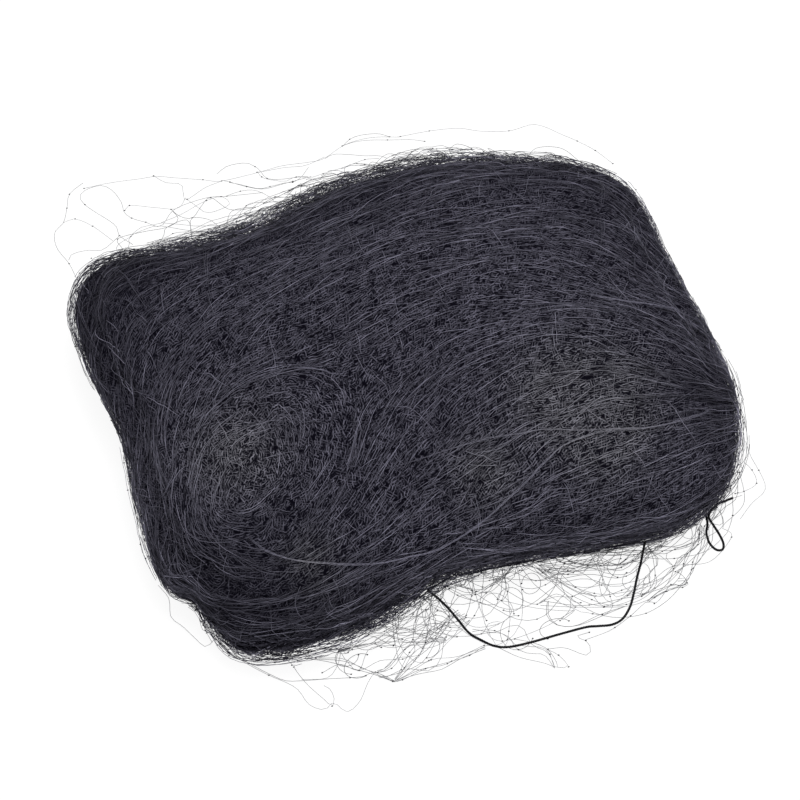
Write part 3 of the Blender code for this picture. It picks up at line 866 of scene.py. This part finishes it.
# Loose net at the back
# A flap of slack open mesh that slid off the pad's top and stands off its back edge, two layers thick.
# Single filaments join at small pressed knots. The slack bars hang in round arcs.
LOOSE_DIAMETER = 0.00024
# Shade of filaments on the table at the pad's edge, between, and furthest out, where the table's light comes
# through them
SHADE_NEAR, SHADE_MIDDLE, SHADE_FAR = 0.35, 0.8, 1.0
UP = (0, 0, 1)
# Spacing of the points of single loops, bundles and mesh filaments, and the share of points with a knot on
# loops, in bundles, on bights and in the mesh
LOOP_STEP, BUNDLE_STEP, MESH_STEP = 0.0025, 0.0028, 0.0019
LOOP_KNOTS, BUNDLE_KNOTS, BIGHT_KNOTS, MESH_KNOTS = 0.35, 0.07, 0.06, 0.6
# Outer loops that show singly: height, and plan points in millimetres
BACK_LOOPS = (
    (6, (-95, 157), (-84, 156), (-71, 154), (-64, 153), (-57, 149), (-45, 144), (-38, 142), (-22, 141),
     (-11, 140), (1, 138), (8, 138), (19, 142), (31, 141), (43, 138)),
    (10, (-95, 157), (-102, 153), (-105, 147), (-108, 141), (-113, 136), (-114, 128), (-111, 120),
     (-110, 111), (-108, 103)),
    (8, (-83, 121), (-87, 127), (-87, 132), (-89, 136), (-94, 142), (-97, 147), (-98, 152), (-95, 155),
     (-88, 154), (-84, 150), (-82, 144), (-82, 139), (-80, 134), (-75, 130), (-69, 127), (-61, 132),
     (-47, 133), (-38, 132), (-23, 129)),
    (7, (-65, 152), (-61, 147), (-55, 145), (-55, 140), (-55, 136), (-46, 139), (-38, 141)),
    (9, (-55, 135), (-52, 130), (-49, 126), (-43, 126), (-38, 127), (-41, 131), (-47, 132), (-52, 131),
     (-60, 128), (-69, 127)),
    (8, (-82, 139), (-79, 140), (-75, 139), (-68, 136), (-60, 132), (-55, 136)),
    (12, (-111, 120), (-109, 122), (-102, 122), (-96, 121), (-87, 125)),
    (10, (-108, 140), (-103, 140), (-97, 135), (-91, 125)),
    (7, (-39, 145), (-33, 146), (-25, 146), (-22, 143), (-21, 140), (-19, 135), (-13, 133), (-7, 132),
     (-2, 130)),
    (9, (-38, 139), (-35, 137), (-29, 133), (-22, 130), (-14, 129), (-9, 129), (-1, 129)),
    (6, (43, 138), (56, 136), (69, 134), (77, 130), (89, 125), (99, 125), (105, 123), (110, 117), (115, 110),
     (121, 103), (126, 95)),
)
# Lines that run close along the edge
BACK_EDGE_LOOPS = (
    (9, (8, 136), (12, 136), (19, 134), (25, 132), (30, 129), (33, 127)),
    (8, (17, 140), (21, 142), (27, 143), (34, 142), (38, 138)),
    (9, (-22, 139), (-21, 135), (-18, 133), (-12, 131), (-7, 131), (-2, 128), (5, 129), (15, 129), (24, 129),
     (30, 128)),
    (8, (-35, 138), (-31, 135), (-24, 131), (-19, 131), (-12, 130), (-9, 129), (-5, 131), (0, 135)),
    (7, (17, 141), (23, 141), (30, 140), (37, 138), (47, 134), (52, 131)),
    (8, (-22, 139), (-17, 138), (-10, 138), (-1, 136), (8, 137)),
    (9, (-39, 131), (-32, 131), (-26, 130), (-21, 125), (-20, 121)),
    (10, (40, 123), (44, 126), (49, 127), (53, 126), (58, 125), (61, 121)),
)
# The flap's first and last bearing, level at the pad, and reach at even shares between them
BACK_FLAP = (40, 135, 2, (12, 16, 18, 18, 16, 16, 18, 26, 36, 44, 34, 4))
FRONT_FLAP = (230, 338, -58, (10, 24, 30, 30, 36, 40, 38, 34, 28, 22, 14, 6))
# How far out from the pad the flap has fallen to its rest height, how far off the skin it starts, and how far
# inside that start a point may lie
FLAP_FALL = 0.02
FLAP_CLEARANCE, FLAP_UNDER = 0.0008, 0.001


def laid_beside(flap, bearing, out, height):
    """Points a distance out from the pad's edge. They fall from the flap's top height to its rest height."""
    rest, top = height
    points = beside_pad(
        bearing, np.full_like(bearing, flap[2]), np.maximum(out, -FLAP_UNDER) + FLAP_CLEARANCE)
    points[..., 2] = rest + (top - rest) * np.clip(1 - out / FLAP_FALL, 0, 1) ** 1.6
    return points


def flap_reach(flap, bearing):
    """How far a flap reaches from the pad at a bearing."""
    first, last, _, reaches = flap
    return np.interp(bearing, np.linspace(first, last, len(reaches)), reaches) * MM


def laid_loops(netting, loops, chance):
    """Filaments along listed loops: smooth curves through the points, with knots at some of them."""
    for height, *places in loops:
        places = np.array(places) * MM + chance.normal(0, 0.0002, (len(places), 2))
        level = np.maximum(height * MM + 0.0008 * np.sin(np.arange(len(places)) * 1.7), KNOT_RADIUS)
        points = np.concatenate((places, level[:, None]), axis=1)
        path = smooth_route(points, LOOP_STEP)[None]
        netting.add_filaments(path, UP, LOOSE_DIAMETER / 2, chance.uniform(0.5, SHADE_FAR))
        netting.add_knots(points[chance.random(len(points)) < LOOP_KNOTS])


def swept_bundles(netting, bundles, chance):
    """Filaments that run together along a given route.

    Each is pushed sideways by its own share of the bundle's width, which is given at the start, the middle
    and the end, and is looser in between. A slow wave is added to the share, so that they cross instead of
    lying parallel.
    """
    for count, widths, height, *places in bundles:
        centre = smooth_route(np.array(places) * MM, BUNDLE_STEP)
        way = np.linspace(0, 1, len(centre))
        along = unit(np.gradient(centre, axis=0))
        across = np.stack((-along[:, 1], along[:, 0]), axis=-1)
        loose = np.sin(np.pi * way)
        share = chance.uniform(-1, 1, (count, 1)) * (1 + 0.6 * loose) + 0.8 * loose * np.sin(
            chance.uniform(0, 2 * np.pi, (count, 1)) + way * chance.uniform(3, 11, (count, 1)))
        plan = centre + across * (share * np.interp(way, (0, 0.5, 1), widths) * MM)[..., None]
        level = height * MM + 0.0006 * np.sin(way * 9 + chance.uniform(0, 6, (count, 1)))
        path = np.concatenate((plan, np.maximum(level, KNOT_RADIUS)[..., None]), axis=-1)
        netting.add_filaments(path, UP, LOOSE_DIAMETER / 2, chance.uniform(SHADE_NEAR, SHADE_MIDDLE, count))
        netting.add_knots(path[chance.random(path.shape[:2]) < BUNDLE_KNOTS])


def hanging_bights(netting, flap, count, depth, height, chance):
    """Bights that leave the pad's edge, swing out and come back further along it.

    The distance out is the flap's reach times the bight's own depth times a power of the sine of the way
    along it. The bight leans to one side by as much as it stands out, and a slow wave is added.
    """
    first, last, _, _ = flap
    way = np.linspace(0, 1, 26)
    sweep = chance.uniform(8, 32, (count, 1))
    start = first + (last - first - sweep) * chance.random((count, 1))
    deep = depth * chance.uniform(0.12, 1, (count, 1)) ** 1.3
    swing = np.sin(np.pi * way) ** 0.8 * deep
    bearing = start + sweep * way + chance.uniform(-9, 9, (count, 1)) * swing
    wave = 0.0011 * np.sin(chance.uniform(0, 6, (count, 1)) + way * chance.uniform(5, 14, (count, 1)))
    out = flap_reach(flap, bearing) * swing + wave * np.minimum(1, 4 * way * (1 - way))
    path = laid_beside(flap, bearing, out, height) + chance.normal(0, 0.00012, (count, len(way), 3))
    path[..., 2] = np.maximum(path[..., 2], KNOT_RADIUS)
    shade = SHADE_NEAR + (SHADE_FAR - SHADE_NEAR) * np.clip(out / 0.03, 0, 1)
    netting.add_filaments(path, UP, LOOSE_DIAMETER / 2, shade)
    netting.add_knots(path[chance.random(out.shape) < BIGHT_KNOTS])


def slack_rings(netting, flap, count, radii, height, chance):
    """Slack bars that curl up: arcs of 160 to 330 degrees of flattened circles beside the pad."""
    first, last, _, _ = flap
    radius = chance.uniform(*radii, count)
    bearing = chance.uniform(first, last, count)
    reach = flap_reach(flap, bearing)
    kept = reach > 2 * radius
    radius, bearing, reach = radius[kept], bearing[kept], reach[kept]
    out = radius + (reach - 1.6 * radius) * chance.random(len(radius))
    centre = laid_beside(flap, bearing, out, height)
    turn = np.radians(chance.uniform(0, 360, (len(radius), 1)) + np.linspace(0, 1, 20) * chance.uniform(
        160, 330, (len(radius), 1)))
    tilt = chance.uniform(0, np.pi, (len(radius), 1))
    wide = (radius * chance.uniform(0.65, 1.0, len(radius)))[:, None] * np.sin(turn)
    long = radius[:, None] * np.cos(turn)
    path = centre[:, None] + np.stack((
        long * np.cos(tilt) - wide * np.sin(tilt), long * np.sin(tilt) + wide * np.cos(tilt),
        0.0004 * np.sin(2 * turn)), axis=-1)
    path[..., 2] = np.maximum(path[..., 2], KNOT_RADIUS)
    netting.add_filaments(path, UP, LOOSE_DIAMETER / 2, chance.uniform(0.2, SHADE_MIDDLE, len(radius)))
    netting.add_knots(path[:, (0, -1)])


def slack_layer(netting, flap, rows, bar, reach_share, height, slack, chance):
    """One layer of slack open mesh beside the pad.

    Knots stand in staggered rows from the pad outwards, moved about by a third of a bar. Each filament runs
    to and fro between two neighbouring rows, as netting twine does, on a smooth curve through their knots.
    Between knots it is thrown sideways by a random share of a bar, so a slack bar stands as a round arc.
    """
    first, last, _, _ = flap
    reach = float(plan_reach(np.array((first + last) / 2.0)))
    columns = int(np.radians(last - first) * (reach + 0.02) / bar)
    place = (np.arange(columns)[None, :] + 0.5 * (np.arange(rows) % 2)[:, None] + 0.5) / (columns + 0.5)
    place = place + chance.normal(0, 0.30 / columns, (rows, columns))
    bearing = first + np.clip(place, 0, 1) * (last - first)
    deep = flap_reach(flap, bearing) * reach_share
    out = deep * (np.arange(rows)[:, None] / (rows - 1)) ** 0.85
    out = out + chance.normal(0, bar * 0.12, (rows, columns))
    knots = laid_beside(flap, bearing, out, height)
    knots[..., 2] += np.abs(chance.normal(0, 0.0006, (rows, columns)))
    for row in range(rows - 1):
        near, far = (knots[row], knots[row + 1]) if row % 2 == 0 else (knots[row + 1], knots[row])
        visited = np.stack((near, far), axis=1).reshape(-1, 3)
        step = np.diff(visited, axis=0)
        across = unit(np.cross(UP, step))
        thrown = chance.normal(0, slack * bar, (len(step), 1))
        between = (visited[:-1] + visited[1:]) / 2 + across * thrown
        between[:, 2] += np.abs(chance.normal(0, 0.06, len(step))) * bar
        points = np.stack((visited[:-1], between), axis=1).reshape(-1, 3)
        path = smooth_route(points, MESH_STEP)[None]
        path[..., 2] = np.maximum(path[..., 2], LOOSE_DIAMETER)
        netting.add_filaments(path, UP, LOOSE_DIAMETER / 2, chance.uniform(SHADE_NEAR, SHADE_MIDDLE))
    netting.add_knots(knots[chance.random((rows, columns)) < MESH_KNOTS])


loose_filament = filament_material(
    "loose_filament", (0.010, 0.010, 0.013), (0.58, 0.58, 0.60), (1.0, 1.0, 0.95), 0.45)
back_net = Netting()
laid_loops(back_net, BACK_LOOPS, chance)
laid_loops(back_net, BACK_EDGE_LOOPS, np.random.default_rng(5))
slack_layer(back_net, BACK_FLAP, 4, 0.018, 0.85, (0.004, 0.018), 0.20, chance)
slack_layer(back_net, BACK_FLAP, 4, 0.016, 0.35, (0.006, 0.019), 0.15, chance)
hanging_bights(back_net, BACK_FLAP, 26, 0.70, (0.008, 0.020), chance)
back_net.build("loose_net_back_filaments", loose_filament, "loose_net", "loose_net_back")


# Loose net at the front
# The other end of the net lies on the table along the front edge, four or five layers thick beside the
# pad and single at its outer loops.
FRONT_LOOPS = (
    (2, (-116, -31), (-114, -38), (-115, -45), (-112, -50), (-109, -57), (-106, -62), (-102, -60),
     (-98, -58)),
    (1, (-104, -55), (-101, -60), (-98, -67), (-92, -74), (-86, -81), (-78, -89), (-75, -97), (-70, -101),
     (-66, -100), (-62, -105), (-56, -102), (-51, -96), (-47, -93)),
    (1, (-96, -68), (-92, -74), (-86, -80), (-81, -85), (-75, -87), (-64, -90), (-57, -92), (-51, -93),
     (-47, -93), (-42, -99)),
    (2, (-76, -81), (-75, -85), (-73, -90), (-69, -97), (-67, -101), (-65, -98), (-66, -94), (-67, -92)),
    (2, (-55, -76), (-57, -81), (-60, -86), (-65, -89), (-75, -87)),
    (1, (-42, -99), (-38, -100), (-28, -98), (-17, -98), (-10, -98), (-3, -97), (1, -98), (8, -105),
     (16, -111), (21, -114), (20, -106), (16, -102), (9, -98)),
    (1, (20, -106), (23, -110), (25, -115), (21, -114)),
    (1, (20, -106), (26, -108), (33, -113), (36, -111), (35, -107), (32, -105), (38, -104)),
    (1, (35, -107), (43, -107), (48, -106), (56, -103), (64, -100), (66, -102), (70, -100), (76, -96),
     (79, -98), (82, -98), (82, -95), (80, -92)),
    (2, (79, -92), (85, -91), (89, -91), (94, -87), (97, -83), (95, -78)),
    (6, (111, -81), (118, -76), (125, -73), (127, -69), (127, -63), (126, -56), (127, -49)),
    (8, (113, -71), (117, -71), (123, -69), (124, -63), (122, -59)),
)
# Filaments that run together: their number, half widths along the way, height, and plan points in millimetres
FRONT_SWEEPS = (
    (6, (3, 4, 2), 1, (-14, -83), (-19, -86), (-26, -90), (-34, -92), (-42, -94), (-46, -94)),
    (4, (3, 3, 1.5), 1, (-7, -81), (-12, -83), (-24, -91), (-31, -94), (-40, -99)),
    (7, (3, 4, 4), 2, (-39, -75), (-33, -80), (-26, -82), (-13, -86), (-5, -85)),
    (6, (1, 3, 4), 2, (-58, -81), (-49, -82), (-41, -83), (-32, -85), (-17, -91)),
    (3, (2, 2, 0.5), 1, (-71, -79), (-56, -88), (-48, -93), (-41, -99)),
    (3, (0.5, 1.5, 1), 1, (-41, -99), (-29, -98), (-17, -98), (-3, -97)),
    (4, (3, 6, 5), 3, (-8, -67), (-1, -72), (6, -78), (14, -82), (22, -83), (34, -82)),
    (3, (3, 4, 1), 1, (-5, -88), (10, -93), (16, -100), (20, -106), (20, -114)),
    (4, (3, 4, 5), 3, (-10, -66), (-14, -71), (-18, -76), (-20, -80), (-26, -84)),
    (6, (3, 4, 2), 2, (29, -72), (35, -78), (51, -82), (59, -83), (72, -79), (81, -78)),
    (5, (1, 3, 3), 1, (29, -72), (36, -85), (46, -95), (58, -98), (72, -96), (88, -88), (96, -83), (99, -77)),
    (4, (1, 3, 3), 2, (73, -78), (73, -84), (69, -91), (62, -97)),
    (6, (2, 4, 3), 4, (40, -74), (56, -78), (70, -78), (84, -76)),
    (5, (3, 4, 1), 2, (95, -76), (92, -84), (85, -90), (76, -94), (64, -100)),
    (2, (1, 1, 0.5), 1, (24, -87), (40, -94), (58, -98), (75, -97), (81, -99), (82, -96), (79, -95)),
    (2, (1, 1, 1), 1, (27, -87), (25, -92), (27, -97), (34, -100), (44, -100), (55, -99)),
    (2, (1, 2, 1), 1, (50, -85), (49, -91), (51, -96), (57, -95), (61, -92)),
    (4, (2, 2, 1), 5, (117, -63), (113, -68), (109, -71), (104, -75), (100, -77)),
)
front_net = Netting()
laid_loops(front_net, FRONT_LOOPS, chance)
swept_bundles(front_net, FRONT_SWEEPS, chance)
slack_layer(front_net, FRONT_FLAP, 5, 0.017, 0.80, (0.0006, 0.006), 0.20, chance)
slack_layer(front_net, FRONT_FLAP, 4, 0.012, 0.22, (0.0010, 0.008), 0.18, chance)
hanging_bights(front_net, FRONT_FLAP, 30, 0.95, (0.0006, 0.008), chance)
hanging_bights(front_net, FRONT_FLAP, 36, 0.35, (0.0008, 0.010), chance)
slack_rings(front_net, FRONT_FLAP, 18, (0.003, 0.008), (0.0006, 0.004), chance)
front_net.build("loose_net_front_filaments", loose_filament, "loose_net", "loose_net_front")


# Table and light
# A white table top, lit a little from below as on a light table, under a soft overhead light.
floor = mesh_object(
    "floor", np.array(((-3, -3, 0), (3, -3, 0), (3, 3, 0), (-3, 3, 0))), np.arange(4), np.empty(0, int))
floor_material, tree, shader = new_material("white_table", 0.9, 0.1)
shader["Base Color"].default_value = (0.18, 0.18, 0.18, 1)
shader["Emission Color"].default_value = (1, 1, 1, 1)
shader["Emission Strength"].default_value = 0.90
floor.data.materials.append(floor_material)

world = bpy.data.worlds.new("studio")
world.use_nodes = True
world.node_tree.nodes["Background"].inputs["Color"].default_value = (1, 1, 1, 1)
world.node_tree.nodes["Background"].inputs["Strength"].default_value = 0.35
bpy.context.scene.world = world
bpy.context.scene.view_settings.view_transform = "Standard"

for name, spot, size, power in (
    ("main_light", (0.30, 0.35, 1.55), 1.0, 16),
    ("fill_light", (0.6, -0.9, 1.3), 1.2, 4),
):
    lamp = bpy.data.lights.new(name, "AREA")
    lamp.size = size
    lamp.energy = power
    light = bpy.data.objects.new(name, lamp)
    light.location = spot
    light.rotation_euler = Vector(spot).to_track_quat("Z", "Y").to_euler()
    bpy.context.scene.collection.objects.link(light)
